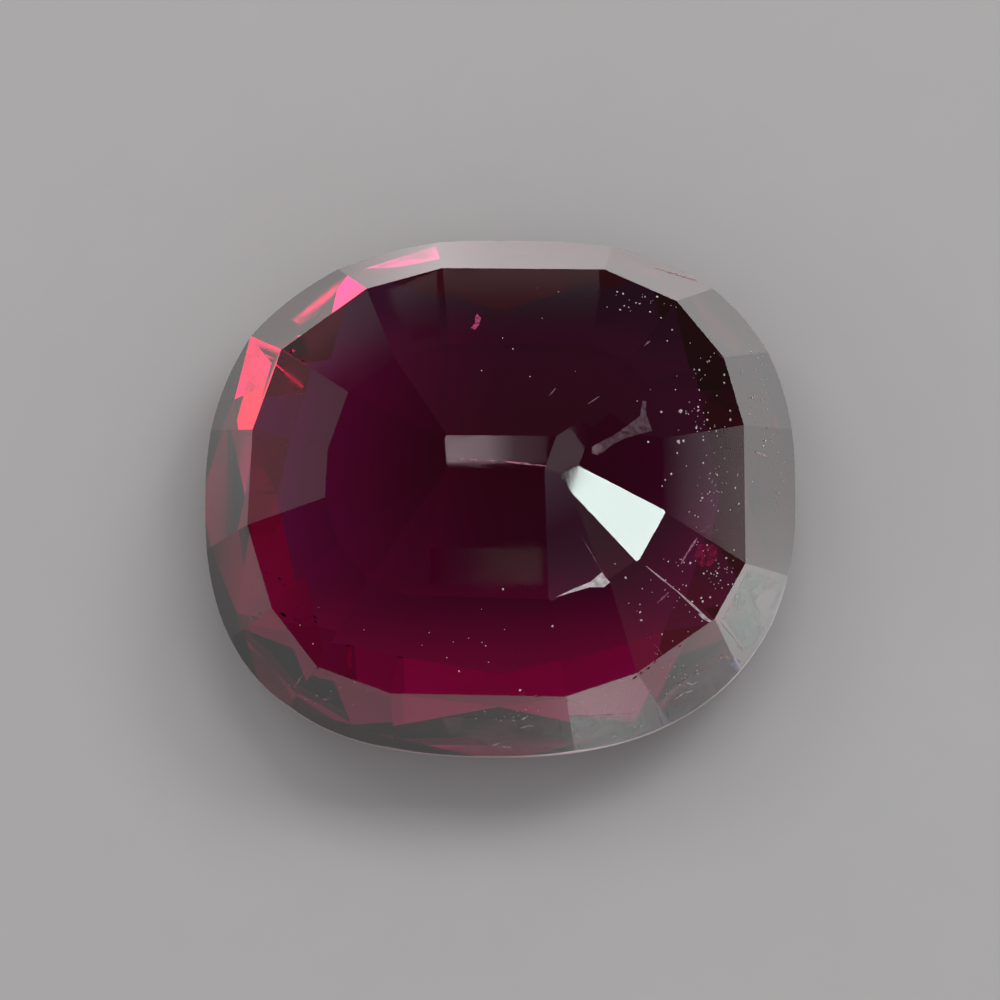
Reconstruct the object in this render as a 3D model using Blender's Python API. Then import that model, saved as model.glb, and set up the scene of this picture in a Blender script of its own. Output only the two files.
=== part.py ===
"""A loose rubellite tourmaline: an antique cushion with a stepped back that rises to a short keel.
It lies on its table, keel up. Metres, +Z up, length along X, table on z = 0."""

import math

import bmesh
import bpy
from mathutils import Vector

MM = 0.001

# Girdle outline: a cushion, each quarter with its own squareness
HALF_LENGTH = 5.50 * MM
HALF_WIDTH = 4.85 * MM
SQUARENESS = (2.60, 2.33, 2.60, 2.35)  # right back, left back, left front, right front
OUTLINE_STEPS = 144

# Levels above the table
CROWN_HEIGHT = 1.35 * MM
GIRDLE_EDGE = 0.30 * MM  # at its thinnest, before the small scallops
FIRST_RIDGE = 3.40 * MM  # where the border facets end
SECOND_RIDGE = 4.75 * MM  # where the middle steps end
KEEL_HEIGHT = 5.90 * MM

# The back's sixteen columns of facets: bearing in degrees, distance of the first ridge
# from the middle, and how far the second ridge stands in from it
BACK_COLUMNS = (
    (89.5, 4.03, 1.63),
    (66.0, 4.45, 1.60),
    (39.5, 4.69, 1.56),
    (16.0, 4.62, 1.58),
    (0.5, 4.50, 1.52),
    (-29.0, 4.66, 1.71),
    (-55.0, 4.31, 1.58),
    (-71.5, 4.12, 1.62),
    (-91.0, 3.92, 1.64),
    (-110.0, 4.34, 1.66),
    (-142.5, 4.74, 1.62),
    (-163.5, 4.69, 1.49),
    (177.0, 4.62, 1.44),
    (160.5, 4.65, 1.52),
    (126.0, 4.41, 1.55),
    (105.5, 4.18, 1.61),
)
KEEL_LEFT = (-0.97, -0.055)
KEEL_RIGHT = (1.32, -0.08)  # the point that the right-hand facets aim at
KEEL_SHARE = 0.773  # how far along that line the keel's sharp edge runs
STRIP_WIDTH = 0.62 * MM  # a narrow flatter facet along the keel's back side
STRIP_SLOPE = math.radians(12.0)
PATCH_BEARING = 17.8  # a small facet takes off the keel's right end
PATCH_SLOPE = math.radians(18.6)
FRONT_BEARING = -71.5  # this column's innermost facet reaches up to the end of the sharp edge
FRONT_CORNER = 8  # the corner between that column and the next one stands further left
FRONT_SHIFT = 0.17 * MM
DEEP_BEARINGS = (-55.0, -29.0)  # these two are ground too deep at their keel end
DEEP_MEETING = (1.31, -0.49)  # where they meet the front one
DEEP_AT_RIDGE = 0.008 * MM
RIGHT_BEARING = 0.5  # this one is ground deeper at its keel end
RIGHT_DROP = 0.145 * MM
KEEL_FACING = 0.03  # facets whose bearing leans less than this along X lie flat against the keel
STRIP_FACING = 0.5  # facets that look more than this to the back end at the narrow facet's edge

# Crown: eight kites, eight stars and sixteen girdle facets round the table
KITE_SLOPE = math.radians(27.0)
KITE_BEARINGS = (0, 45, 90, 135, 180, 225, 270, 315)
HALF_KITE_STEP = 22.5
STAR_LEVEL = 0.62 * MM  # where a star's tip lies above the table

BLOCK_HEIGHT = 6.50 * MM  # the block that the facets are ground on
TOUCH = 2e-7  # points this near a cut lie on it
MERGE = 1e-6  # corners this near each other are one


def clear_scene():
    for obj in list(bpy.data.objects):
        bpy.data.objects.remove(obj, do_unlink=True)


def make_collection(name):
    collection = bpy.data.collections.new(name)
    bpy.context.scene.collection.children.link(collection)
    return collection


def make_material(name, color, roughness):
    material = bpy.data.materials.new(name)
    material.use_nodes = True
    shader = material.node_tree.nodes["Principled BSDF"]
    shader.inputs["Base Color"].default_value = (*color, 1.0)
    shader.inputs["Roughness"].default_value = roughness
    shader.inputs["Transmission Weight"].default_value = 1.0
    shader.inputs["IOR"].default_value = 1.63
    return material


def outline_point(angle):
    """The girdle outline's point in this direction from the middle."""
    along = math.cos(angle)
    across = math.sin(angle)
    if abs(along) < 1e-12:
        along = 0.0
    if abs(across) < 1e-12:
        across = 0.0
    power = SQUARENESS[int((angle % math.tau) // (math.pi / 2)) % 4]
    radius = (abs(along / HALF_LENGTH) ** power + abs(across / HALF_WIDTH) ** power) ** (-1 / power)
    return Vector((along * radius, across * radius, 0.0))


def outward(bearing):
    angle = math.radians(bearing)
    return Vector((math.cos(angle), math.sin(angle), 0.0))


def widest_point(bearing):
    """Where a straight edge laid against the outline from this bearing touches it."""
    direction = outward(bearing)
    start = math.radians(bearing)
    angles = [start + math.radians(step * 0.1) for step in range(-300, 301)]
    return max((outline_point(angle) for angle in angles), key=lambda point: point.dot(direction))


def corner_of(first, second):
    """Where two upright planes meet, each given by its bearing and its distance from the middle."""
    a = outward(first[0])
    b = outward(second[0])
    area = a.x * b.y - a.y * b.x
    x = (first[1] * b.y - second[1] * a.y) / area
    y = (a.x * second[1] - b.x * first[1]) / area
    return Vector((x, y, 0.0))


def raised(point, level):
    return Vector((point.x, point.y, level))


def make_preform():
    """A plain cushion block as tall as the stone, with its foot on z = 0."""
    block = bmesh.new()
    bmesh.ops.create_cone(
        block, cap_ends=True, cap_tris=False, segments=OUTLINE_STEPS,
        radius1=1.0, radius2=1.0, depth=1.0,
    )
    for vert in block.verts:
        angle = math.atan2(vert.co.y, vert.co.x)
        steps = round(angle / math.tau * OUTLINE_STEPS)
        level = BLOCK_HEIGHT if vert.co.z > 0 else 0.0
        vert.co = raised(outline_point(steps * math.tau / OUTLINE_STEPS), level)
    return block


def cut_facet(block, a, b, c):
    """Grinds one flat facet through three points and closes the face it leaves."""
    normal = (b - a).cross(c - a).normalized()
    middle = Vector((0.0, 0.0, CROWN_HEIGHT + GIRDLE_EDGE / 2))
    if normal.dot(middle - a) > 0:
        normal = -normal
    everything = block.verts[:] + block.edges[:] + block.faces[:]
    result = bmesh.ops.bisect_plane(
        block, geom=everything, dist=TOUCH, plane_co=a, plane_no=normal, clear_outer=True
    )
    rim = [
        item for item in result["geom_cut"]
        if isinstance(item, bmesh.types.BMEdge) and len(item.link_faces) == 1
    ]
    bmesh.ops.edgenet_fill(block, edges=rim)


def point_on_plane(a, b, c, place):
    """The point above a place, in millimetres from the centre, on the plane through three points."""
    normal = (b - a).cross(c - a)
    x = place[0] * MM
    y = place[1] * MM
    drop = (normal.x * (x - a.x) + normal.y * (y - a.y)) / normal.z
    return Vector((x, y, a.z - drop))


def cut_crown(block):
    """Kites first, then the stars round the table and the pairs of facets along the girdle."""
    inset = CROWN_HEIGHT / math.tan(KITE_SLOPE)
    kites = []
    for bearing in KITE_BEARINGS:
        foot = widest_point(bearing)
        direction = outward(bearing)
        kites.append((bearing, foot, foot - direction * inset, foot.dot(direction)))
    for bearing, foot, table_point, _ in kites:
        side = Vector((-outward(bearing).y, outward(bearing).x, 0.0)) * MM
        edge = raised(foot, CROWN_HEIGHT)
        cut_facet(block, edge, edge + side, raised(table_point, 0.0))
    rise = STAR_LEVEL / math.tan(KITE_SLOPE)
    for index, kite in enumerate(kites):
        following = kites[(index + 1) % len(kites)]
        tip = corner_of(
            (kite[0], kite[3] - inset + rise), (following[0], following[3] - inset + rise)
        )
        tip = raised(tip, STAR_LEVEL)
        cut_facet(block, raised(kite[2], 0.0), raised(following[2], 0.0), tip)
        between = raised(widest_point(kite[0] + HALF_KITE_STEP), CROWN_HEIGHT)
        cut_facet(block, raised(kite[1], CROWN_HEIGHT), between, tip)
        cut_facet(block, raised(following[1], CROWN_HEIGHT), between, tip)


def cut_back(block):
    """Three rows of sixteen facets, the steepest against the girdle and the flattest at the keel,
    and two small ones on the keel itself."""
    count = len(BACK_COLUMNS)
    first = [(bearing, reach * MM) for bearing, reach, _ in BACK_COLUMNS]
    second = [(bearing, (reach - inset) * MM) for bearing, reach, inset in BACK_COLUMNS]
    first_corners = [raised(corner_of(first[i - 1], first[i]), FIRST_RIDGE) for i in range(count)]
    second_corners = [raised(corner_of(second[i - 1], second[i]), SECOND_RIDGE) for i in range(count)]
    keel = [Vector((x * MM, y * MM, KEEL_HEIGHT)) for x, y in (KEEL_LEFT, KEEL_RIGHT)]
    edge_end = keel[0].lerp(keel[1], KEEL_SHARE)
    over = Vector((0.0, STRIP_WIDTH, -STRIP_WIDTH * math.tan(STRIP_SLOPE)))
    strip = [end + over for end in keel]
    cut_facet(block, keel[0], edge_end, strip[0])
    way = outward(PATCH_BEARING)
    fall = Vector((way.x, way.y, -math.tan(PATCH_SLOPE))) * MM
    level = Vector((-way.y, way.x, 0.0)) * MM
    cut_facet(block, edge_end, edge_end + fall, edge_end + level)
    second_corners[FRONT_CORNER].x -= FRONT_SHIFT
    meeting = point_on_plane(
        edge_end, second_corners[FRONT_CORNER - 1], second_corners[FRONT_CORNER], DEEP_MEETING
    )
    for i in range(count):
        following = (i + 1) % count
        bearing = first[i][0]
        direction = outward(bearing)
        foot = raised(widest_point(bearing), CROWN_HEIGHT + GIRDLE_EDGE)
        cut_facet(block, foot, first_corners[i], first_corners[following])
        ridge_middle = (second_corners[i] + second_corners[following]) / 2
        cut_facet(block, ridge_middle, first_corners[i], first_corners[following])
        ends = strip if direction.y > STRIP_FACING else keel
        if abs(direction.x) < KEEL_FACING:
            cut_facet(block, ridge_middle, ends[0], ends[1])
            continue
        tip = ends[0] if direction.x < 0 else ends[1]
        if bearing == FRONT_BEARING:
            tip = edge_end
        if bearing in DEEP_BEARINGS:
            tip = meeting
        if bearing == RIGHT_BEARING:
            tip = raised(tip, KEEL_HEIGHT - RIGHT_DROP)
        down = Vector((0.0, 0.0, DEEP_AT_RIDGE if bearing == DEEP_BEARINGS[1] else 0.0))
        cut_facet(block, second_corners[i] - down, second_corners[following] - down, tip)


def make_stone(collection):
    block = make_preform()
    cut_crown(block)
    cut_back(block)
    bmesh.ops.remove_doubles(block, verts=block.verts[:], dist=MERGE)
    bmesh.ops.dissolve_degenerate(block, edges=block.edges[:], dist=MERGE)
    bmesh.ops.recalc_face_normals(block, faces=block.faces[:])
    mesh = bpy.data.meshes.new("rubellite")
    block.to_mesh(mesh)
    block.free()
    stone = bpy.data.objects.new("rubellite", mesh)
    stone.data.materials.append(make_material("rubellite_crystal", (0.40, 0.01, 0.10), 0.02))
    collection.objects.link(stone)
    return stone


clear_scene()
stone = make_stone(make_collection("rubellite_tourmaline"))
print("faces", len(stone.data.polygons), "size mm", [round(d * 1000, 3) for d in stone.dimensions])
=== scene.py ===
import math
import random

import bpy
import bmesh
from mathutils import Matrix, Vector


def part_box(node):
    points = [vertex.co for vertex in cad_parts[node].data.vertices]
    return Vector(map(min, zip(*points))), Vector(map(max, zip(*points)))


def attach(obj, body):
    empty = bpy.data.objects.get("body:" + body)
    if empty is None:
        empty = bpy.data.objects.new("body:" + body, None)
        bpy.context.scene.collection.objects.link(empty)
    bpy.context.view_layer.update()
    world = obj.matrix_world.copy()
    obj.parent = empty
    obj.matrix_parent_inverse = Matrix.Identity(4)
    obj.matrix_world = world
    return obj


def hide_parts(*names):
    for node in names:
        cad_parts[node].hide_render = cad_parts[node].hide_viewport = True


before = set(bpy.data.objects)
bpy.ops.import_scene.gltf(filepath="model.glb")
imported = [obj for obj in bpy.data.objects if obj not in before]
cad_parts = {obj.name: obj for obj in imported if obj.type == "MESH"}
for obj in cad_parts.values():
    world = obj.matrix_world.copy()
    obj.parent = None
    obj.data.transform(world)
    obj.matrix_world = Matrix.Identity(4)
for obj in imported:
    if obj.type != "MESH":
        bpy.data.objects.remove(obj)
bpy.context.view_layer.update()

mm = 0.001
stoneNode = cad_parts["rubellite"]
stoneLow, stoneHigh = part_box("rubellite")
print("frame loaded, stone", [round(side / mm, 2) for side in stoneHigh - stoneLow], "mm")


# Camera: nearly straight down on the keel side, from a little in front
cameraSetup = {
    "elevation": 82.0,
    "lens": 300.0,
    "sensor": 36.0,
    "frameWidth": 18.64 * mm,
    "lookAt": Vector((-0.008, -0.050, 1.65)) * mm,
    "pixels": 1000,
    "clip": (1 * mm, 10.0),
}


def cameraPlace(setup):
    tilt = math.radians(90.0 - setup["elevation"])
    back = Vector((0.0, -math.sin(tilt), math.cos(tilt)))
    distance = setup["frameWidth"] * setup["lens"] / setup["sensor"]
    return setup["lookAt"] + back * distance, back, tilt


def makeCamera(setup):
    place, back, tilt = cameraPlace(setup)
    bpy.ops.object.camera_add(location=place, rotation=(tilt, 0.0, 0.0))
    camera = bpy.context.object
    camera.name = "camera"
    camera.data.lens = setup["lens"]
    camera.data.sensor_width = setup["sensor"]
    camera.data.clip_start, camera.data.clip_end = setup["clip"]
    bpy.context.scene.camera = camera
    return camera


camera = makeCamera(cameraSetup)
print("camera made")


# The line of sight through a pixel of the photograph, and where it meets the stone
def sightLine(pixel, setup=cameraSetup):
    place, back, tilt = cameraPlace(setup)
    right = Vector((1.0, 0.0, 0.0))
    up = back.cross(right)
    share = setup["sensor"] / setup["lens"] / setup["pixels"]
    x = (pixel[0] - setup["pixels"] / 2) * share
    y = (setup["pixels"] / 2 - pixel[1]) * share
    return place, (right * x + up * y - back).normalized()


def spotOnStone(pixel):
    place, way = sightLine(pixel)
    hit, spot, normal, index = stone.ray_cast(place, way)
    if not hit:
        raise ValueError("no stone at pixel " + str(pixel))
    return spot, normal, way


# Node helpers
def newMaterial(name):
    material = bpy.data.materials.new(name)
    material.use_nodes = True
    material.node_tree.nodes.clear()
    return material


def addNode(material, kind, inputs=None, **settings):
    node = material.node_tree.nodes.new(kind)
    for key, value in settings.items():
        setattr(node, key, value)
    for key, value in (inputs or {}).items():
        if isinstance(value, bpy.types.NodeSocket):
            material.node_tree.links.new(value, node.inputs[key])
        else:
            node.inputs[key].default_value = value
    return node


def rangeOf(material, value, low, high, newLow, newHigh, smooth=False):
    node = addNode(material, "ShaderNodeMapRange", {0: value, 1: low, 2: high, 3: newLow, 4: newHigh})
    if smooth:
        node.interpolation_type = "SMOOTHSTEP"
    return node.outputs[0]


def mathOf(material, operation, a, b=None):
    inputs = {0: a} if b is None else {0: a, 1: b}
    return addNode(material, "ShaderNodeMath", inputs, operation=operation).outputs[0]


def rampOf(material, value, stops):
    node = addNode(material, "ShaderNodeValToRGB", {0: value})
    elements = node.color_ramp.elements
    while len(elements) > 1:
        elements.remove(elements[-1])
    for index, (position, color) in enumerate(stops):
        element = elements[0] if index == 0 else elements.new(position)
        element.position = position
        element.color = (color[0], color[1], color[2], 1.0)
    return node.outputs[0]


def noiseOf(material, scale, detail=2.0, stretch=(1, 1, 1), output=0):
    place = addNode(material, "ShaderNodeTexCoord").outputs["Object"]
    mapping = addNode(material, "ShaderNodeMapping", {"Vector": place, "Scale": stretch})
    node = addNode(material, "ShaderNodeTexNoise", {
        "Vector": mapping.outputs[0], "Scale": scale, "Detail": detail,
    })
    return node.outputs[output]


def onlyObject(item):
    bpy.ops.object.select_all(action="DESELECT")
    item.select_set(True)
    bpy.context.view_layer.objects.active = item


# The stone: the CAD solid with worn edges and small chips along some of its ridges
stoneSetup = {
    "mergeWithin": 0.012 * mm,
    "flatWithin": math.radians(0.5),
    "edgeWear": 0.010 * mm,
    "sharpAngle": math.radians(4.0),
    "wornRidge": ((646, 566), (708, 617)),  # pixels of the worn ridge, which shows a white line of light
    "ridgeReach": 0.12 * mm,  # edges nearer than this to that line, and longer than the shortest
    "ridgeShortest": 0.5 * mm,
    "ridgeWear": 0.026 * mm,
    "ridgeSegments": 3,
    "ior": 1.63,
    "absorbed": (0.16, 1.10, 0.47),  # of red, green and blue light, per millimetre
    "density": 1.2,
    "polish": 0.035,  # how rough the facets are at most, and how much more near the girdle
    "polishScale": 900.0,
    "polishSpread": (0.35, 0.75),
    "wear": 0.07,
    "wearScale": 700.0,
    "wearSpread": (0.5, 0.72),
    "wearHeights": (2.6 * mm, 3.5 * mm),  # full wear below the first, none above the second
    "grindingScale": 5000.0,
    "grindingStretch": (1.0, 0.12, 0.5),
    "swellScale": 800.0,
    "swellShare": 3.0,
    "reliefStrength": 0.025,
    "reliefHeight": 0.0012 * mm,
    "zoneScale": 260.0,
    "zoneColors": ((0.3, (1.0, 0.97, 0.98)), (0.7, (0.93, 0.93, 0.97))),
    "girdleHeights": (1.355 * mm, 1.645 * mm),
    "girdleSteepness": 0.2,
    "girdleRoughness": 0.32,
    "girdleColor": (0.30, 0.27, 0.28, 1.0),
    "girdleClear": 0.35,
    "girdleShine": 0.1,
    "chipSeed": 31,
    "chipLift": 0.55,  # shares of a chip's radius
    "chipUneven": 0.28,
    "chipWidth": (0.6, 0.9),
    "chipDepth": (0.7, 1.0),
    "chips": (  # pixel, size in pixels
        (636, 677, 5), (641, 673, 3.5), (648, 668, 3.5), (655, 662, 2.5), (661, 655, 3),
        (722, 357, 5), (720, 363, 3), (523, 694, 3.5), (536, 696, 4), (549, 697, 3),
        (292, 351, 4), (303, 361, 3), (271, 362, 3), (680, 646, 2.5), (317, 668, 2.5), (566, 700, 3),
    ),
}


def crystalMaterial(setup):
    material = newMaterial("rubellite_crystal")
    place = addNode(material, "ShaderNodeTexCoord").outputs["Object"]
    parts = addNode(material, "ShaderNodeSeparateXYZ", {0: place})
    facing = addNode(material, "ShaderNodeNewGeometry")
    steep = addNode(material, "ShaderNodeSeparateXYZ", {0: facing.outputs["True Normal"]})
    girdleLow, girdleHigh = setup["girdleHeights"]
    above = mathOf(material, "GREATER_THAN", parts.outputs["Z"], girdleLow)
    below = mathOf(material, "LESS_THAN", parts.outputs["Z"], girdleHigh)
    tilt = mathOf(material, "ABSOLUTE", steep.outputs["Z"])
    upright = mathOf(material, "LESS_THAN", tilt, setup["girdleSteepness"])
    onGirdle = mathOf(material, "MULTIPLY", mathOf(material, "MULTIPLY", above, below), upright)
    clouds = noiseOf(material, setup["polishScale"], 3.0)
    polish = rangeOf(material, clouds, *setup["polishSpread"], 0.0, setup["polish"])
    wearFrom, wearTo = setup["wearHeights"]
    low = rangeOf(material, parts.outputs["Z"], wearFrom, wearTo, 1.0, 0.0)
    patches = noiseOf(material, setup["wearScale"], 4.0)
    worn = rangeOf(material, patches, *setup["wearSpread"], 0.0, setup["wear"])
    border = mathOf(material, "MULTIPLY", worn, low)
    frosted = mathOf(material, "MULTIPLY", onGirdle, setup["girdleRoughness"])
    roughness = mathOf(material, "MAXIMUM", mathOf(material, "ADD", polish, border), frosted)
    streaks = noiseOf(material, setup["grindingScale"], stretch=setup["grindingStretch"])
    swelling = mathOf(material, "MULTIPLY", low, setup["swellShare"])
    swells = mathOf(material, "MULTIPLY", noiseOf(material, setup["swellScale"]), swelling)
    bump = addNode(material, "ShaderNodeBump", {
        "Strength": setup["reliefStrength"], "Distance": setup["reliefHeight"],
        "Height": mathOf(material, "ADD", streaks, swells),
    })
    zones = rampOf(material, noiseOf(material, setup["zoneScale"]), setup["zoneColors"])
    tones = {0: onGirdle, 6: zones, 7: setup["girdleColor"]}
    ground = addNode(material, "ShaderNodeMix", tones, data_type="RGBA")
    clear = rangeOf(material, onGirdle, 0.0, 1.0, 1.0, setup["girdleClear"])
    shine = rangeOf(material, onGirdle, 0.0, 1.0, 0.5, setup["girdleShine"])
    surface = addNode(material, "ShaderNodeBsdfPrincipled", {
        "Base Color": ground.outputs[2], "Roughness": roughness, "IOR": setup["ior"],
        "Transmission Weight": clear, "Specular IOR Level": shine, "Normal": bump.outputs[0],
    })
    kept = [1.0 - share / setup["density"] for share in setup["absorbed"]]
    inside = addNode(material, "ShaderNodeVolumeAbsorption", {
        "Color": (*kept, 1.0), "Density": setup["density"] / mm,
    })
    addNode(material, "ShaderNodeOutputMaterial", {
        "Surface": surface.outputs[0], "Volume": inside.outputs[0],
    })
    return material


def bevelEdges(item, wanted, width, segments):
    bpy.ops.object.mode_set(mode="EDIT")
    bpy.ops.mesh.select_mode(type="EDGE")
    bpy.ops.mesh.select_all(action="DESELECT")
    mesh = bmesh.from_edit_mesh(item.data)
    count = 0
    for edge in mesh.edges:
        if len(edge.link_faces) == 2 and wanted(edge):
            edge.select = True
            count += 1
    bmesh.update_edit_mesh(item.data)
    bpy.ops.mesh.bevel(offset=width, segments=segments, affect="EDGES", clamp_overlap=True)
    bpy.ops.object.mode_set(mode="OBJECT")
    return count


def makeStone(setup):
    mesh = stoneNode.data.copy()
    item = bpy.data.objects.new("rubelliteStone", mesh)
    bpy.context.scene.collection.objects.link(item)
    onlyObject(item)
    bpy.ops.object.mode_set(mode="EDIT")
    bpy.ops.mesh.select_all(action="SELECT")
    bpy.ops.mesh.remove_doubles(threshold=setup["mergeWithin"])
    bpy.ops.mesh.dissolve_limited(angle_limit=setup["flatWithin"])
    bpy.ops.object.mode_set(mode="OBJECT")
    bpy.context.view_layer.update()
    ends = []
    for pixel in setup["wornRidge"]:
        place, way = sightLine(pixel)
        hit, spot, normal, index = item.ray_cast(place, way)
        ends.append(spot)

    def onWornRidge(edge):
        middle = (edge.verts[0].co + edge.verts[1].co) / 2
        share = (middle - ends[0]).dot(ends[1] - ends[0]) / (ends[1] - ends[0]).length_squared
        nearest = ends[0].lerp(ends[1], min(max(share, 0.0), 1.0))
        close = (middle - nearest).length < setup["ridgeReach"]
        return close and edge.calc_length() > setup["ridgeShortest"]

    def isSharp(edge):
        return edge.calc_face_angle() > setup["sharpAngle"] and not onWornRidge(edge)

    ridgeEdges = bevelEdges(item, onWornRidge, setup["ridgeWear"], setup["ridgeSegments"])
    print("worn ridge edges", ridgeEdges)
    print("worn edges", bevelEdges(item, isSharp, setup["edgeWear"], 1))
    mesh.materials.clear()
    mesh.materials.append(crystalMaterial(setup))
    return item


def makeChipCutter(setup):
    seeds = random.Random(setup["chipSeed"])
    bpy.ops.object.select_all(action="DESELECT")
    cutters = []
    for number, (x, y, size) in enumerate(setup["chips"]):
        spot, normal, way = spotOnStone((x, y))
        radius = size * cameraSetup["frameWidth"] / cameraSetup["pixels"]
        place = spot + normal * radius * setup["chipLift"]
        bpy.ops.mesh.primitive_ico_sphere_add(subdivisions=2, radius=radius, location=place)
        cutter = bpy.context.object
        bpy.ops.object.mode_set(mode="EDIT")
        uneven = radius * setup["chipUneven"]
        bpy.ops.transform.vertex_random(offset=uneven, uniform=1.0, normal=0.0, seed=number)
        bpy.ops.object.mode_set(mode="OBJECT")
        cutter.scale = (1.0, seeds.uniform(*setup["chipWidth"]), seeds.uniform(*setup["chipDepth"]))
        cutter.rotation_euler = (seeds.uniform(0, 3), seeds.uniform(0, 3), seeds.uniform(0, 3))
        cutters.append(cutter)
    for cutter in cutters:
        cutter.select_set(True)
    bpy.context.view_layer.objects.active = cutters[0]
    bpy.ops.object.join()
    joined = bpy.context.object
    bpy.ops.object.transform_apply(location=True, rotation=True, scale=True)
    joined.name = "chipCutter"
    return joined


def chipStone(item, setup):
    cutter = makeChipCutter(setup)
    onlyObject(item)
    cut = item.modifiers.new("chips", "BOOLEAN")
    cut.operation = "DIFFERENCE"
    cut.solver = "EXACT"
    cut.use_self = True
    cut.object = cutter
    bpy.ops.object.modifier_apply(modifier=cut.name)
    bpy.data.objects.remove(cutter)
    bpy.ops.object.shade_smooth_by_angle(angle=setup["sharpAngle"])
    print("stone faces", len(item.data.polygons))


stone = makeStone(stoneSetup)
bpy.context.view_layer.update()
chipStone(stone, stoneSetup)
bpy.context.view_layer.update()
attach(stone, "root")
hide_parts("rubellite")
print("stone made")


# Marks on the polish and painted light: thin films whose outlines are pixels of the photograph, each wrapped
# on the facets under it, and scratches and bright lines given by their two ends, their width in pixels and
# their strength
marks = {
    "forkedSmear": {
        "outline": (
            (642, 401), (646, 401), (646, 414), (652, 431), (640, 434), (625, 438), (610, 446), (601, 454),
            (594, 451), (597, 444), (612, 436), (627, 426), (640, 416),
        ),
        "cover": (0.03, 0.10), "color": (0.62, 0.44, 0.52),
    },
    "smearSpot": {
        "outline": ((592, 447), (597, 444), (602, 446), (602, 451), (597, 455), (592, 453)),
        "cover": (0.10, 0.22), "color": (0.62, 0.42, 0.48),
    },
    # a painted highlight: the bright line and small spot where a rounded ridge catches the light
    "paintedRidgeHighlight": {
        "outline": (
            (602, 572), (606, 578), (610, 582), (604, 587), (590, 587), (576, 591), (556, 597), (575, 588),
            (590, 582),
        ),
        "cover": (0.35, 1.0), "color": (0.95, 0.86, 0.90),
    },
    # a small feather, with its pink flash as a painted reflection
    "pinkFeatherFlash": {
        "outline": ((477, 314), (481, 318), (479, 325), (475, 330), (471, 328), (475, 323), (475, 318)),
        "cover": (0.2, 0.85), "color": (0.75, 0.10, 0.28),
    },
    # painted light: a soft red glow of light coming through the stone
    "paintedRedGlow": {
        "outline": ((698, 545), (708, 541), (716, 547), (718, 557), (711, 566), (701, 567), (694, 557)),
        "cover": (0.0, 0.20), "color": (0.60, 0.02, 0.12),
    },
    # mottled haze on the right border, tinted mint-white as a painted reflection of the mint lamp
    "whiteHazeAndReflection": {
        "outline": ((749, 569), (783, 585), (772, 617), (757, 641), (746, 650), (723, 619)),
        "cover": (0.0, 0.30), "color": (0.84, 1.0, 0.94), "grain": 1100,
    },
    # haze on the front border, grey as a painted reflection of the veil there
    "frontHazeAndReflection": {
        "outline": ((569, 716), (642, 713), (649, 727), (630, 737), (602, 745), (579, 749), (574, 735)),
        "cover": (0.0, 0.38), "color": (0.72, 0.75, 0.74), "grain": 1300,
    },
    # haze on the lower right border, grey as a painted reflection of the veil there
    "lowHazeAndReflection": {
        "outline": (
            (669, 690), (702, 668), (733, 656), (741, 662), (721, 689), (691, 711), (661, 726), (656, 708),
        ),
        "cover": (0.0, 0.28), "color": (0.55, 0.56, 0.58), "grain": 2300,
    },
    # haze on the front border, brownish grey as a painted reflection of the veil there
    "brownHazeAndReflection": {
        "outline": ((440, 716), (500, 719), (560, 719), (565, 749), (505, 751), (460, 750)),
        "cover": (0.0, 0.22), "color": (0.46, 0.36, 0.38), "grain": 2100,
    },
    # a painted highlight at the end of the worn ridge
    "ridgeEndHighlight": {
        "outline": ((700, 613), (706, 617), (712, 621), (709, 622), (703, 619), (698, 614)),
        "cover": (0.25, 0.9), "color": (0.80, 0.70, 0.74),
    },
}
# Line marks: the pink pair at the keel and the pale pair along the worn ridge are painted highlights; the
# others are thin scratches and bright lines
scratchesAndGlints = (
    ((447, 458.5), (500, 461), 1.8, "pink"), ((500, 461), (546, 466), 2.2, "pink"),
    ((646, 566), (678, 592), 1.6, "pale"), ((677, 591), (708, 619), 2.4, "pale"),
    ((681, 564), (688, 551), 2.2, "pink"), ((688, 552), (697, 538), 2.8, "pink"),
    ((657, 603), (669, 592), 2.0, "pink"), ((644, 346), (650, 341), 1.6, "faint"),
    ((701, 532), (709, 526), 2.0, "faint"), ((712, 533), (722, 527), 1.6, "faint"),
    ((602, 572), (582, 537), 1.0, "faint"), ((549, 396), (556, 388), 1.4, "faint"),
    ((588, 404), (600, 396), 1.2, "faint"), ((655, 268), (697, 281), 1.4, "pink"),
    ((512, 720), (516, 720.5), 1.5, "white"), ((521, 720), (528, 716), 1.8, "white"),
    ((521, 728), (528, 725.5), 2.0, "white"), ((528, 725.5), (535, 726), 1.1, "white"),
    ((492, 745.5), (500, 743), 1.3, "white"), ((500, 746.5), (511, 747), 1.2, "white"),
    ((675, 699), (683, 693.5), 1.4, "white"), ((680, 687.5), (684, 685.5), 1.8, "white"),
    ((687, 682.5), (692, 684.5), 2.0, "white"), ((692, 684.5), (698, 681), 1.3, "white"),
    ((684, 692.5), (693, 690.5), 1.4, "white"), ((719, 658.5), (724, 655), 2.4, "pale"),
    ((724, 655), (730, 658.5), 1.3, "pale"), ((633, 727.5), (636.5, 726), 2.2, "white"),
    ((640, 726.5), (642.5, 725), 1.6, "white"), ((720, 622), (736, 641), 1.3, "faint"),
    ((736, 641), (744, 653), 2.2, "pale"), ((318, 707), (333, 694), 1.2, "pink"),
    ((292, 691), (305, 671), 1.2, "pink"), ((352, 716), (361, 703), 1.0, "faint"),
    ((748, 589), (757, 609), 1.2, "faint"), ((755, 452), (768, 457), 1.8, "pale"),
)
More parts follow.
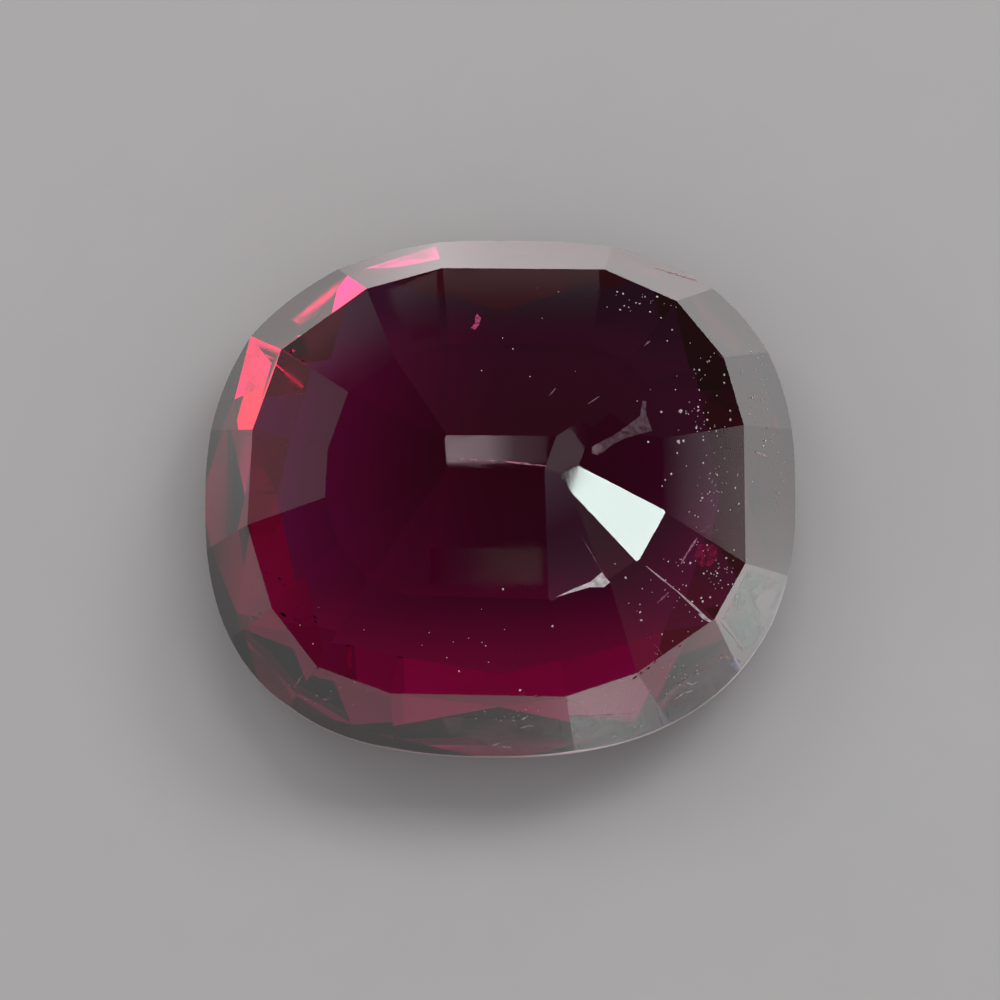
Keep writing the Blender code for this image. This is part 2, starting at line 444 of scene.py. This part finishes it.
films = {
    # pale and pink also colour the painted highlights along the worn ridge and at the keel
    "pale": {"cover": (0.2, 0.85), "color": (0.80, 0.62, 0.68)},
    "pink": {"cover": (0.05, 0.5), "color": (0.70, 0.30, 0.42)},
    "faint": {"cover": (0.0, 0.22), "color": (0.60, 0.42, 0.48)},
    "white": {"cover": (0.1, 0.85), "color": (0.85, 0.83, 0.84)},
}
filmShape = {
    "lift": 0.004 * mm,
    "thickness": 0.0005 * mm,
    "cuts": 2,
    "grain": 9000,
    "speckle": (0.36, 0.62),
    "roughness": 0.7,
    "shine": 0.2,
    "scratchTip": 0.4,  # how wide a line mark is at its ends, as a share of its middle
}


def filmMaterial(name, setup):
    material = newMaterial(name)
    speckle = noiseOf(material, setup.get("grain", filmShape["grain"]), 4.0)
    cover = rangeOf(material, speckle, *filmShape["speckle"], *setup["cover"])
    surface = addNode(material, "ShaderNodeBsdfPrincipled", {
        "Base Color": (*setup["color"], 1.0), "Roughness": filmShape["roughness"],
        "Specular IOR Level": filmShape["shine"], "Alpha": cover,
    })
    addNode(material, "ShaderNodeOutputMaterial", {"Surface": surface.outputs[0]})
    return material


def addFilm(name, outline, material):
    bpy.ops.object.select_all(action="DESELECT")
    bpy.ops.mesh.primitive_circle_add(vertices=len(outline), radius=mm, fill_type="NGON")
    film = bpy.context.object
    film.name = name
    for vertex, pixel in zip(film.data.vertices, outline):
        vertex.co = spotOnStone(pixel)[0]
    bpy.ops.object.mode_set(mode="EDIT")
    bpy.ops.mesh.select_all(action="SELECT")
    bpy.ops.mesh.quads_convert_to_tris(ngon_method="BEAUTY")
    bpy.ops.mesh.subdivide(number_cuts=filmShape["cuts"])
    bpy.ops.object.mode_set(mode="OBJECT")
    wrap = film.modifiers.new("wrap", "SHRINKWRAP")
    wrap.target = stone
    wrap.wrap_method = "NEAREST_SURFACEPOINT"
    wrap.wrap_mode = "ABOVE_SURFACE"
    wrap.offset = filmShape["lift"]
    bpy.ops.object.modifier_apply(modifier=wrap.name)
    shell = film.modifiers.new("shell", "SOLIDIFY")
    shell.thickness = filmShape["thickness"]
    bpy.ops.object.modifier_apply(modifier=shell.name)
    bpy.ops.object.mode_set(mode="EDIT")
    bpy.ops.mesh.select_all(action="SELECT")
    bpy.ops.mesh.normals_make_consistent(inside=False)
    bpy.ops.object.mode_set(mode="OBJECT")
    film.data.materials.append(material)
    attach(film, "root")
    return film


def lineMarkOutline(start, end, width):
    a = Vector(start)
    b = Vector(end)
    middle = a.lerp(b, 0.5)
    side = Vector((a.y - b.y, b.x - a.x)).normalized() * width / 2
    tip = side * filmShape["scratchTip"]
    return (a + tip, middle + side, b + tip, b - tip, middle - side, a - tip)


for name, setup in marks.items():
    addFilm(name, setup["outline"], filmMaterial(name + "_film", setup))
filmMaterials = {name: filmMaterial("scratch_" + name, setup) for name, setup in films.items()}
for number, (start, end, width, kind) in enumerate(scratchesAndGlints):
    addFilm("scratch" + str(number), lineMarkOutline(start, end, width), filmMaterials[kind])
print("marks made")


# Dust: pale grains on the facets. The large ones stand where the photograph shows them, as
# (x, y, radius) in pixels; the fine ones are scattered in patches of (x, y, spread x, spread y, count)
dust = {
    "grains": (
        (680, 411.5, 2.6), (678, 442, 2.2), (683, 441, 1.7), (661, 412, 1.5), (698, 407, 1.4),
        (697.5, 411, 1),
        (677, 453, 1.3), (696, 428, 1.3), (707, 420, 1.2), (730, 411, 1.3), (730, 420, 1.4), (716, 431, 1.2),
        (703, 440, 1.1), (703, 463, 1.1), (648, 442, 1.1), (671, 474, 1.3), (665, 480, 1), (662, 486, 1),
        (717, 475, 1.2), (702, 498, 1.3), (709.5, 492, 1), (735, 488, 1.1), (738.5, 504, 1.2),
        (718, 511, 1), (689, 512, 0.9), (698, 517, 0.9), (734, 550, 1.2), (726, 558, 1.2), (707, 545, 1),
        (690, 563, 1.4), (703.5, 573.5, 1.1), (711, 573.5, 1), (717, 573, 1.3), (728, 584.5, 1),
        (686, 585.5, 1.1), (701, 598, 1.3), (702.5, 601.5, 1.4), (710, 597, 1.2), (692, 601.5, 1.2),
        (640, 612, 1.5), (641, 620, 1.5), (625.5, 577.5, 1.5), (552.5, 626, 1.4), (503, 589, 1.3),
        (662, 634, 1), (617, 292, 1.1), (623, 294, 1.2), (645, 297, 1.1), (657, 297, 1.2), (624, 306, 1.1),
        (620, 310, 1), (650, 312, 1.1), (661, 318, 1.1), (636, 303, 0.9), (672, 330, 1.1), (667, 341, 1),
        (699, 370, 1.2), (724, 375, 1.3), (724, 383, 1.2), (699, 390, 1.2), (709, 361, 1), (459, 671, 1.1),
        (520, 690, 1.4), (765, 441, 1.7), (763, 446, 1.3), (752, 398, 1.4), (742, 372, 1.3), (751, 352, 1.2),
    ),
    "patches": (
        (700, 420, 26, 24, 26), (712, 480, 26, 44, 36), (716, 575, 22, 26, 26), (680, 600, 34, 26, 22),
        (640, 300, 34, 14, 16), (702, 372, 22, 22, 14), (762, 400, 14, 60, 40), (778, 480, 9, 50, 24),
        (752, 600, 20, 30, 16), (680, 672, 40, 18, 30), (600, 706, 60, 16, 24), (560, 350, 130, 60, 9),
        (450, 640, 150, 26, 14), (330, 690, 60, 22, 12), (500, 714, 30, 8, 14), (690, 560, 60, 60, 20),
    ),
    "fineSize": (0.40, 0.85),
    "seed": 7,
    "uneven": 0.3,
    "width": (0.7, 1.0),  # shares of a grain's length
    "height": 0.55,
    "lift": 0.2,
    "heights": (1.9 * mm, 5.8 * mm),  # grains lie on facets between these, and on none that is too steep
    "steepest": 0.2,
    "toneScale": 4000.0,
    "tones": ((0.35, (0.62, 0.50, 0.52)), (0.65, (0.95, 0.90, 0.90))),
    "roughness": 0.85,
}


def dustMaterial(setup):
    material = newMaterial("dust")
    tone = rampOf(material, noiseOf(material, setup["toneScale"]), setup["tones"])
    look = {"Base Color": tone, "Roughness": setup["roughness"]}
    surface = addNode(material, "ShaderNodeBsdfPrincipled", look)
    addNode(material, "ShaderNodeOutputMaterial", {"Surface": surface.outputs[0]})
    return material


def makeDust(setup):
    seeds = random.Random(setup["seed"])
    spots = list(setup["grains"])
    for x, y, wide, high, count in setup["patches"]:
        for _ in range(count):
            across, along = seeds.gauss(x, wide / 2), seeds.gauss(y, high / 2)
            spots.append((across, along, seeds.uniform(*setup["fineSize"])))
    bpy.ops.object.select_all(action="DESELECT")
    bpy.ops.mesh.primitive_ico_sphere_add(subdivisions=1, radius=1.0)
    grain = bpy.context.object
    bpy.ops.object.mode_set(mode="EDIT")
    bpy.ops.transform.vertex_random(offset=setup["uneven"], uniform=1.0, normal=0.0, seed=setup["seed"])
    bpy.ops.object.mode_set(mode="OBJECT")
    pixel = cameraSetup["frameWidth"] / cameraSetup["pixels"]
    lowest, highest = setup["heights"]
    copies = []
    for x, y, size in spots:
        place, way = sightLine((x, y))
        hit, spot, normal, index = stone.ray_cast(place, way)
        if not hit or normal.z < setup["steepest"] or not lowest < spot.z < highest:
            continue
        copy = grain.copy()
        copy.data = grain.data.copy()
        bpy.context.scene.collection.objects.link(copy)
        radius = size * pixel
        turn = normal.to_track_quat("Z", "Y").to_matrix().to_4x4()
        spin = Matrix.Rotation(seeds.uniform(0, math.tau), 4, "Z")
        width = radius * seeds.uniform(*setup["width"])
        stretch = Matrix.Diagonal((radius, width, radius * setup["height"], 1.0))
        move = Matrix.Translation(spot + normal * radius * setup["lift"])
        copy.matrix_world = move @ turn @ spin @ stretch
        copies.append(copy)
    bpy.data.objects.remove(grain)
    bpy.ops.object.select_all(action="DESELECT")
    for copy in copies:
        copy.select_set(True)
    bpy.context.view_layer.objects.active = copies[0]
    bpy.ops.object.join()
    grains = bpy.context.object
    bpy.ops.object.transform_apply(location=True, rotation=True, scale=True)
    grains.name = "dustGrains"
    grains.data.materials.clear()
    grains.data.materials.append(dustMaterial(setup))
    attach(grains, "root")
    print("dust grains", len(copies))
    return grains


makeDust(dust)


# Studio: a pale floor, and lamps behind the stone that light it and throw a soft shadow forwards
studio = {
    "floorColor": (0.60, 0.593, 0.595),
    "floorSize": 2.0,
    "floorLevel": -0.02 * mm,
    "paperScale": 900.0,
    "paperTones": (0.985, 1.015),
    "paperRoughness": 0.8,
    "paperShine": 0.1,
    "roomLight": 0.36,  # what lights the floor from all round
    "throughLight": 0.26,  # what is seen through the stone overhead
    "mirroredRoom": 0.03,  # what the polished facets mirror where no card stands
    "roomColor": (1.0, 0.99, 0.99, 1.0),
    "lampDistance": 0.30,
    "lampAim": 3.0 * mm,
    "lampColor": (1.0, 0.99, 0.985),
}


def makeFloor(setup):
    bpy.ops.object.select_all(action="DESELECT")
    bpy.ops.mesh.primitive_plane_add(size=setup["floorSize"], location=(0, 0, setup["floorLevel"]))
    floor = bpy.context.object
    floor.name = "floor"
    material = newMaterial("floor_paper")
    tone = rangeOf(material, noiseOf(material, setup["paperScale"]), 0.0, 1.0, *setup["paperTones"])
    color = addNode(material, "ShaderNodeVectorMath", {0: setup["floorColor"]}, operation="SCALE")
    material.node_tree.links.new(tone, color.inputs["Scale"])
    surface = addNode(material, "ShaderNodeBsdfPrincipled", {
        "Base Color": color.outputs[0], "Roughness": setup["paperRoughness"],
        "Specular IOR Level": setup["paperShine"],
    })
    addNode(material, "ShaderNodeOutputMaterial", {"Surface": surface.outputs[0]})
    floor.data.materials.append(material)
    return floor


def makeRoom(setup):
    world = bpy.data.worlds.new("room")
    bpy.context.scene.world = world
    world.use_nodes = True
    tree = world.node_tree
    kind = tree.nodes.new("ShaderNodeLightPath")
    level = tree.nodes.new("ShaderNodeMix")
    level.inputs[2].default_value = setup["roomLight"]
    level.inputs[3].default_value = setup["throughLight"]
    tree.links.new(kind.outputs["Is Transmission Ray"], level.inputs[0])
    mirrored = tree.nodes.new("ShaderNodeMix")
    mirrored.inputs[3].default_value = setup["mirroredRoom"]
    tree.links.new(kind.outputs["Is Glossy Ray"], mirrored.inputs[0])
    tree.links.new(level.outputs[0], mirrored.inputs[2])
    tree.links.new(mirrored.outputs[0], tree.nodes["Background"].inputs["Strength"])
    tree.nodes["Background"].inputs["Color"].default_value = setup["roomColor"]
    bpy.context.scene.view_settings.view_transform = "Standard"


# Each lamp: where it stands round the stone (bearing and elevation), how wide and high it is
# seen from there, and how bright its face is. The facets mirror the cards further down instead
lamps = {
    "keyMiddle": {"bearing": 72, "elevation": 56, "width": 40, "height": 12, "face": 4.2},
    "keyRight": {"bearing": 42, "elevation": 46, "width": 22, "height": 12, "face": 5.0},
    "keyLeft": {"bearing": 132, "elevation": 46, "width": 22, "height": 12, "face": 2.5},
    "fillLeft": {"bearing": 192, "elevation": 36, "width": 30, "height": 14, "face": 0.7},
}


def addLamp(name, setup, distance):
    aim = Vector((0, 0, studio["lampAim"]))
    bearing = math.radians(setup["bearing"])
    elevation = math.radians(setup["elevation"])
    level = math.cos(elevation)
    way = Vector((math.cos(bearing) * level, math.sin(bearing) * level, math.sin(elevation)))
    bpy.ops.object.light_add(type="AREA", location=aim + way * distance)
    lamp = bpy.context.object
    lamp.name = name
    lamp.rotation_mode = "QUATERNION"
    lamp.rotation_quaternion = way.to_track_quat("Z", "Y")
    wide = 2 * distance * math.tan(math.radians(setup["width"] / 2))
    high = 2 * distance * math.tan(math.radians(setup["height"] / 2))
    lamp.data.shape = "RECTANGLE"
    lamp.data.size = wide
    lamp.data.size_y = high
    lamp.data.energy = setup["face"] * math.pi * wide * high
    lamp.data.color = studio["lampColor"]
    lamp.visible_camera = False
    lamp.visible_glossy = False
    lamp.visible_transmission = False
    return lamp


def hideExcept(item, glossy=False, transmission=False):
    item.visible_camera = False
    item.visible_diffuse = False
    item.visible_glossy = glossy
    item.visible_transmission = transmission
    item.visible_volume_scatter = False
    item.visible_shadow = False
    # the lamps light the scene; a card is only met by rays that the stone sends its way
    item.active_material.cycles.emission_sampling = "NONE"


# A pale card lies on the floor round the stone, seen only in the steep facets that mirror it:
# how bright it is by bearing, from -180 to 180 degrees
floorCard = {
    "radius": 40 * mm,
    "height": -0.010 * mm,
    "levels": (
        (-180, 0.62), (-150, 0.52), (-110, 0.55), (-88, 0.70), (-69, 2.0), (-50, 1.15), (-21, 2.9),
        (-4, 1.75), (4, 1.5), (25, 1.52), (47, 1.42), (66, 1.40), (80, 1.55), (90, 1.65), (103, 2.0),
        (122, 1.05), (151, 0.95), (168, 0.80), (180, 0.62),
    ),
    "full": 4.0,
    "innerEdge": (5.6 * mm, 9.0 * mm),  # nearer than this the card is dimmer and pinker
    "innerTint": (0.95, 0.82, 0.84),
    # the dark zone round the girdle is a painted shadow: the floor's shade beside the stone as the facets
    # mirror it
    "outline": (5.5 * mm, 4.85 * mm),  # dark close to the girdle, out to this share past it
    "squareness": 2.5,
    "darkTo": 1.10,
    "darkLevel": 0.25,
}


def makeFloorCard(setup):
    bpy.ops.object.select_all(action="DESELECT")
    bpy.ops.mesh.primitive_circle_add(
        vertices=96, radius=setup["radius"], fill_type="NGON", location=(0, 0, setup["height"])
    )
    card = bpy.context.object
    card.name = "floorCard"
    material = newMaterial("card_glow")
    place = addNode(material, "ShaderNodeTexCoord").outputs["Object"]
    parts = addNode(material, "ShaderNodeSeparateXYZ", {0: place})
    bearing = mathOf(material, "ARCTAN2", parts.outputs["Y"], parts.outputs["X"])
    turn = rangeOf(material, bearing, -math.pi, math.pi, 0.0, 1.0)
    stops = [((at + 180) / 360, [level / setup["full"]] * 3) for at, level in setup["levels"]]
    levels = rampOf(material, turn, stops)
    far = addNode(material, "ShaderNodeVectorMath", {0: place}, operation="LENGTH").outputs["Value"]
    outer = rangeOf(material, far, setup["innerEdge"][0], setup["innerEdge"][1], 0.0, 1.0, smooth=True)
    tint = rampOf(material, outer, ((0.0, setup["innerTint"]), (1.0, (1.0, 1.0, 1.0))))
    color = addNode(material, "ShaderNodeVectorMath", {0: levels, 1: tint}, operation="MULTIPLY").outputs[0]
    sides = []
    for axis, half in zip(("X", "Y"), setup["outline"]):
        share = mathOf(material, "DIVIDE", mathOf(material, "ABSOLUTE", parts.outputs[axis]), half)
        sides.append(mathOf(material, "POWER", share, setup["squareness"]))
    reach = mathOf(material, "POWER", mathOf(material, "ADD", *sides), 1 / setup["squareness"])
    near = rangeOf(material, reach, 1.0, setup["darkTo"], setup["darkLevel"], 1.0, smooth=True)
    strength = mathOf(material, "MULTIPLY", near, setup["full"])
    glow = addNode(material, "ShaderNodeEmission", {"Color": color, "Strength": strength})
    addNode(material, "ShaderNodeOutputMaterial", {"Surface": glow.outputs[0]})
    card.data.materials.append(material)
    hideExcept(card, glossy=True)
    return card


# A second card lies under the stone and is seen only through it: dark behind the keel's right end,
# paler at the left, in a red glow at the front and dimmer at the back. Further out it is dark but
# for two small bright pools, which make the rest of the flashes, and two wide faint ones
underCard = {
    "radius": 45 * mm,
    "nearTo": 9.0 * mm,
    "nearEnd": 11.7 * mm,
    "farLevel": 0.11,
    "farPools": (
        {"center": (16.5 * mm, -15.1 * mm), "size": (2.1 * mm, 1.7 * mm), "level": 11.0, "tint": (1, 0.8, 3)},
        {"center": (5.5 * mm, -26.0 * mm), "size": (4.4 * mm, 5.2 * mm), "level": 11.0, "tint": (1, 0.9, 6)},
        {"center": (18.0 * mm, 4.0 * mm), "size": (11 * mm, 11 * mm), "level": 0.70, "tint": (1, 0.9, 4)},
        {"center": (0.0 * mm, 16.0 * mm), "size": (16 * mm, 9 * mm), "level": 0.35, "tint": (1, 0.9, 6)},
    ),
    "height": -0.006 * mm,
    "base": 0.045,
    "blend": 0.04,
    "left": {"from": 0.6 * mm, "to": -2.9 * mm, "level": 0.095},
    "front": {"from": 0.3 * mm, "to": -2.2 * mm, "level": 0.155},
    "right": {"center": (2.8 * mm, -0.9 * mm), "size": (1.9 * mm, 1.9 * mm), "level": 0.085},
    "back": {"from": 1.4 * mm, "to": 2.6 * mm, "share": 0.42},
    "redFrom": 0.02,
    "baseColor": (1.0, 1.05, 1.4),
    "glowColor": (1.0, 0.6, 0.66),
}


def makeUnderCard(setup):
    bpy.ops.object.select_all(action="DESELECT")
    bpy.ops.mesh.primitive_circle_add(
        vertices=96, radius=setup["radius"], fill_type="NGON", location=(0, 0, setup["height"])
    )
    card = bpy.context.object
    card.name = "underCard"
    material = newMaterial("under_glow")
    place = addNode(material, "ShaderNodeTexCoord").outputs["Object"]
    parts = addNode(material, "ShaderNodeSeparateXYZ", {0: place})

    def pool(spec):
        squares = []
        for axis, center, size in zip(("X", "Y"), spec["center"], spec["size"]):
            away = mathOf(material, "SUBTRACT", parts.outputs[axis], center)
            share = mathOf(material, "DIVIDE", away, size)
            squares.append(mathOf(material, "MULTIPLY", share, share))
        far = mathOf(material, "SQRT", mathOf(material, "ADD", *squares))
        return rangeOf(material, far, 0.0, 1.0, spec["level"], 0.0, smooth=True)

    def slope(axis, spec):
        place = parts.outputs[axis]
        return rangeOf(material, place, spec["to"], spec["from"], spec["level"], 0.0, smooth=True)

    def larger(a, b):
        node = addNode(material, "ShaderNodeMath", {0: a, 1: b, 2: setup["blend"]}, operation="SMOOTH_MAX")
        return node.outputs[0]

    front = slope("Y", setup["front"])
    level = larger(larger(slope("X", setup["left"]), front), pool(setup["right"]))
    level = mathOf(material, "ADD", level, setup["base"])
    back = setup["back"]
    dimmer = rangeOf(material, parts.outputs["Y"], back["from"], back["to"], 1.0, back["share"], smooth=True)
    level = mathOf(material, "MULTIPLY", level, dimmer)
    redness = rangeOf(material, front, setup["redFrom"], setup["front"]["level"], 0.0, 1.0)
    color = rampOf(material, redness, ((0.0, setup["baseColor"]), (1.0, setup["glowColor"])))
    light = addNode(material, "ShaderNodeVectorMath", {0: color}, operation="SCALE")
    reach = addNode(material, "ShaderNodeVectorMath", {0: place}, operation="LENGTH").outputs["Value"]
    near = rangeOf(material, reach, setup["nearTo"], setup["nearEnd"], 1.0, 0.0, smooth=True)
    material.node_tree.links.new(mathOf(material, "MULTIPLY", level, near), light.inputs["Scale"])
    far = rangeOf(material, near, 0.0, 1.0, setup["farLevel"], 0.0)
    light = addNode(material, "ShaderNodeVectorMath", {0: light.outputs[0], 1: far}, operation="ADD")
    for spec in setup["farPools"]:
        tint = addNode(material, "ShaderNodeVectorMath", {0: spec["tint"]}, operation="SCALE")
        material.node_tree.links.new(pool(spec), tint.inputs["Scale"])
        both = {0: light.outputs[0], 1: tint.outputs[0]}
        light = addNode(material, "ShaderNodeVectorMath", both, operation="ADD")
    glow = addNode(material, "ShaderNodeEmission", {"Color": light.outputs[0], "Strength": 1.0})
    addNode(material, "ShaderNodeOutputMaterial", {"Surface": glow.outputs[0]})
    card.data.materials.append(material)
    hideExcept(card, transmission=True)
    return card


# An upright card stands all round, far from the stone, and is also seen only through it: by bearing,
# how bright it is and how much bluer than red. The front and the back are the same at every height,
# and the right side is in rows from the bottom up. Its brightest stretches make the flashes in the
# upper left border
ringCard = {
    "radius": 60 * mm,
    "height": 34 * mm,
    "green": 0.9,
    "front": ((-180, 0.15, 3), (-157, 0.05, 3), (-100, 0.10, 3), (-94, 0.17, 3), (-80, 0.16, 3)),
    "back": (
        (0, 0.55, 4), (12, 0.85, 6), (24, 0.85, 6), (29, 0.6, 7), (40, 0.6, 7), (55, 0.45, 5), (67, 0.40, 5),
        (80, 0.85, 5), (95, 0.85, 5), (112, 0.75, 5), (135, 0.45, 4), (157, 0.20, 3), (180, 0.15, 3),
    ),
    "rows": (
        (0.0 * mm, ((-68, 0.1, 3), (-66, 12, 7), (-59, 12, 7), (-57, 0.3, 3), (-12, 0.45, 3))),
        (0.9 * mm, (
            (-45, 0.35, 3), (-32, 0.35, 3), (-31, 11, 3.4), (-26.4, 11, 3), (-25.6, 0.35, 3), (-16, 0.6, 3),
        )),
        (8.0 * mm, (
            (-62, 0.3, 3), (-59, 18, 2.8), (-46, 18, 2.8), (-43, 0.35, 3), (-28, 0.35, 3), (-26, 9, 1.6),
            (-19, 9, 1.6), (-16, 0.6, 3), (-13, 2.4, 6), (-7, 2.4, 6), (-5, 0.6, 3),
        )),
        (16.0 * mm, ((-60, 0.2, 3), (-15, 0.35, 3))),
    ),
    "rowBlur": 0.3 * mm,
    "full": 90.0,
}


def makeRingCard(setup):
    bpy.ops.object.select_all(action="DESELECT")
    bpy.ops.mesh.primitive_cylinder_add(
        vertices=96, radius=setup["radius"], depth=setup["height"], end_fill_type="NOTHING",
        location=(0, 0, setup["height"] / 2),
    )
    card = bpy.context.object
    card.name = "ringCard"
    bpy.ops.object.transform_apply(location=True)
    material = newMaterial("ring_glow")
    place = addNode(material, "ShaderNodeTexCoord").outputs["Object"]
    parts = addNode(material, "ShaderNodeSeparateXYZ", {0: place})
    bearing = mathOf(material, "ARCTAN2", parts.outputs["Y"], parts.outputs["X"])
    turn = rangeOf(material, bearing, -math.pi, math.pi, 0.0, 1.0)
    levels = None
    for foot, row in setup["rows"]:
        stops = []
        for at, level, blue in setup["front"] + row + setup["back"]:
            color = [level * share / setup["full"] for share in (1.0, setup["green"], blue)]
            stops.append(((at + 180) / 360, color))
        shades = rampOf(material, turn, stops)
        if levels is None:
            levels = shades
            continue
        share = rangeOf(material, parts.outputs["Z"], foot, foot + setup["rowBlur"], 0.0, 1.0)
        mix = addNode(material, "ShaderNodeMix", {0: share, 6: levels, 7: shades}, data_type="RGBA")
        levels = mix.outputs[2]
    glow = addNode(material, "ShaderNodeEmission", {"Color": levels, "Strength": setup["full"]})
    addNode(material, "ShaderNodeOutputMaterial", {"Surface": glow.outputs[0]})
    card.data.materials.append(material)
    hideExcept(card, transmission=True)
    return card


# Cards that single facets mirror. One with pixels stands where the facet mirrors it at those four
# (upper left, upper right, lower right, lower left), and its edge at the exact side stays in place
# when the card is made larger. The others stand further off, by bearing and elevation. A card is
# brighter or dimmer along its length, or its height where along is Y
farCards = 1.4
mirroredCards = {
    "kiteCard": {
        "pixels": ((578, 468), (640, 498), (630, 545), (570, 489)), "exact": "left", "grow": 2.0,
        "levels": ((0.0, 15.0), (1.0, 15.0)), "color": (0.85, 1.0, 0.95),
    },
    "stripCard": {
        "pixels": ((448, 437), (540, 437), (540, 461), (450, 461)), "grow": 1.15,
        "levels": ((0.0, 2.9), (0.40, 2.3), (0.68, 0.6), (1.0, 0.3)), "color": (1.0, 0.84, 0.92),
    },
    "patchCard": {
        "pixels": ((560, 438), (574, 430), (582, 446), (560, 458)), "exact": "right", "grow": 2.4,
        "levels": ((0.0, 0.62), (1.0, 0.62)), "color": (1.0, 0.95, 1.0),
    },
    "bandCard": {
        "pixels": ((548, 478), (565, 478), (590, 580), (552, 585)), "grow": 1.2, "along": "Y",
        "levels": ((0.0, 0.20), (0.5, 0.12), (1.0, 0.45)), "color": (0.9, 0.9, 1.2),
    },
    "frontCard": {
        "pixels": ((430, 548), (542, 548), (542, 584), (430, 584)), "grow": 1.0,
        "levels": ((0.0, 0.0), (0.35, 0.08), (0.6, 0.22), (1.0, 0.28)), "color": (1.0, 0.95, 0.85),
    },
    "leftCard": {
        "bearing": 154, "elevation": 8, "width": 46, "height": 22,
        "levels": ((0.0, 0.44), (1.0, 0.36)), "color": (1.0, 0.98, 1.0),
    },
    "upperLeftCard": {
        "pixels": ((298, 352), (366, 306), (388, 352), (345, 380)), "grow": 1.5, "along": "Y",
        "levels": ((0.15, 0.05), (0.35, 0.14), (0.6, 0.28), (0.85, 0.38)), "color": (1.0, 0.96, 0.98),
    },
    "topLeftCard": {
        "pixels": ((396, 296), (432, 282), (434, 328), (414, 332)), "grow": 1.4, "along": "Y",
        "levels": ((0.1, 0.04), (0.5, 0.14), (0.9, 0.30)), "color": (1.0, 0.96, 0.98),
    },
    "topCard": {
        "pixels": ((452, 276), (580, 276), (580, 336), (452, 336)), "grow": 1.3, "along": "Y",
        "levels": ((0.1, 0.05), (0.35, 0.08), (0.58, 0.14), (0.83, 0.28), (1.0, 0.34)),
        "color": (1.0, 0.96, 1.0),
    },
    "rightCard": {
        "pixels": ((672, 446), (738, 438), (738, 546), (672, 500)), "grow": 1.5,
        "levels": ((0.1, 0.08), (0.25, 0.28), (0.37, 0.44), (0.5, 0.58), (0.65, 0.76), (0.82, 0.95)),
        "color": (1.0, 0.95, 1.0),
    },
    "backCard": {
        "bearing": 66, "elevation": 18, "width": 90, "height": 40,
        "levels": ((0.0, 0.06), (1.0, 0.06)), "color": (0.95, 0.98, 1.0),
    },
    "frontRightCard": {
        "bearing": -56, "elevation": 36, "width": 34, "height": 14,
        "levels": ((0.0, 0.20), (1.0, 0.26)), "color": (1.0, 0.98, 1.0),
    },
    "lowRightCard": {
        "bearing": -40, "elevation": 16, "width": 50, "height": 16,
        "levels": ((0.0, 0.10), (1.0, 0.13)), "color": (1.0, 0.98, 1.0),
    },
}


def cardCorners(setup, distance):
    if "pixels" in setup:
        corners = []
        for pixel in setup["pixels"]:
            spot, normal, way = spotOnStone(pixel)
            corners.append(spot + way.reflect(normal) * distance)
        if "exact" in setup:
            fixed, moved = ((0, 3), (1, 2)) if setup["exact"] == "left" else ((1, 2), (0, 3))
            for still, far in zip(fixed, moved):
                corners[far] = corners[still].lerp(corners[far], setup["grow"])
            for top, bottom in ((0, 3), (1, 2)):
                along = corners[top] - corners[bottom]
                corners[top] = corners[top] + along * (setup["grow"] / 2)
                corners[bottom] = corners[bottom] - along * (setup["grow"] / 2)
            return corners
        middle = sum(corners, Vector()) / 4
        return [middle + (corner - middle) * setup["grow"] for corner in corners]
    corners = []
    for side, rise in ((-1, 1), (1, 1), (1, -1), (-1, -1)):
        bearing = math.radians(setup["bearing"] - side * setup["width"] / 2)
        elevation = math.radians(setup["elevation"] + rise * setup["height"] / 2)
        level = math.cos(elevation)
        way = Vector((math.cos(bearing) * level, math.sin(bearing) * level, math.sin(elevation)))
        corners.append(way * distance * farCards)
    return corners


def addCard(name, setup, distance):
    bpy.ops.object.select_all(action="DESELECT")
    bpy.ops.mesh.primitive_plane_add(size=1.0)
    card = bpy.context.object
    card.name = name
    corners = cardCorners(setup, distance)
    # the plane's vertices run lower left, lower right, upper left, upper right
    for index, corner in zip((2, 3, 1, 0), corners):
        card.data.vertices[index].co = corner
    material = newMaterial(name + "_glow")
    place = addNode(material, "ShaderNodeUVMap", uv_map=card.data.uv_layers[0].name).outputs[0]
    parts = addNode(material, "ShaderNodeSeparateXYZ", {0: place})
    full = max(level for at, level in setup["levels"])
    stops = [(at, [level / full] * 3) for at, level in setup["levels"]]
    levels = rampOf(material, parts.outputs[setup.get("along", "X")], stops)
    color = addNode(material, "ShaderNodeVectorMath", {0: levels, 1: setup["color"]}, operation="MULTIPLY")
    glow = addNode(material, "ShaderNodeEmission", {"Color": color.outputs[0], "Strength": full})
    addNode(material, "ShaderNodeOutputMaterial", {"Surface": glow.outputs[0]})
    card.data.materials.append(material)
    hideExcept(card, glossy=True)
    return card


makeFloor(studio)
makeRoom(studio)
makeFloorCard(floorCard)
makeUnderCard(underCard)
makeRingCard(ringCard)
for name, setup in lamps.items():
    addLamp(name, setup, studio["lampDistance"])
for name, setup in mirroredCards.items():
    addCard(name, setup, studio["lampDistance"])
print("studio made")
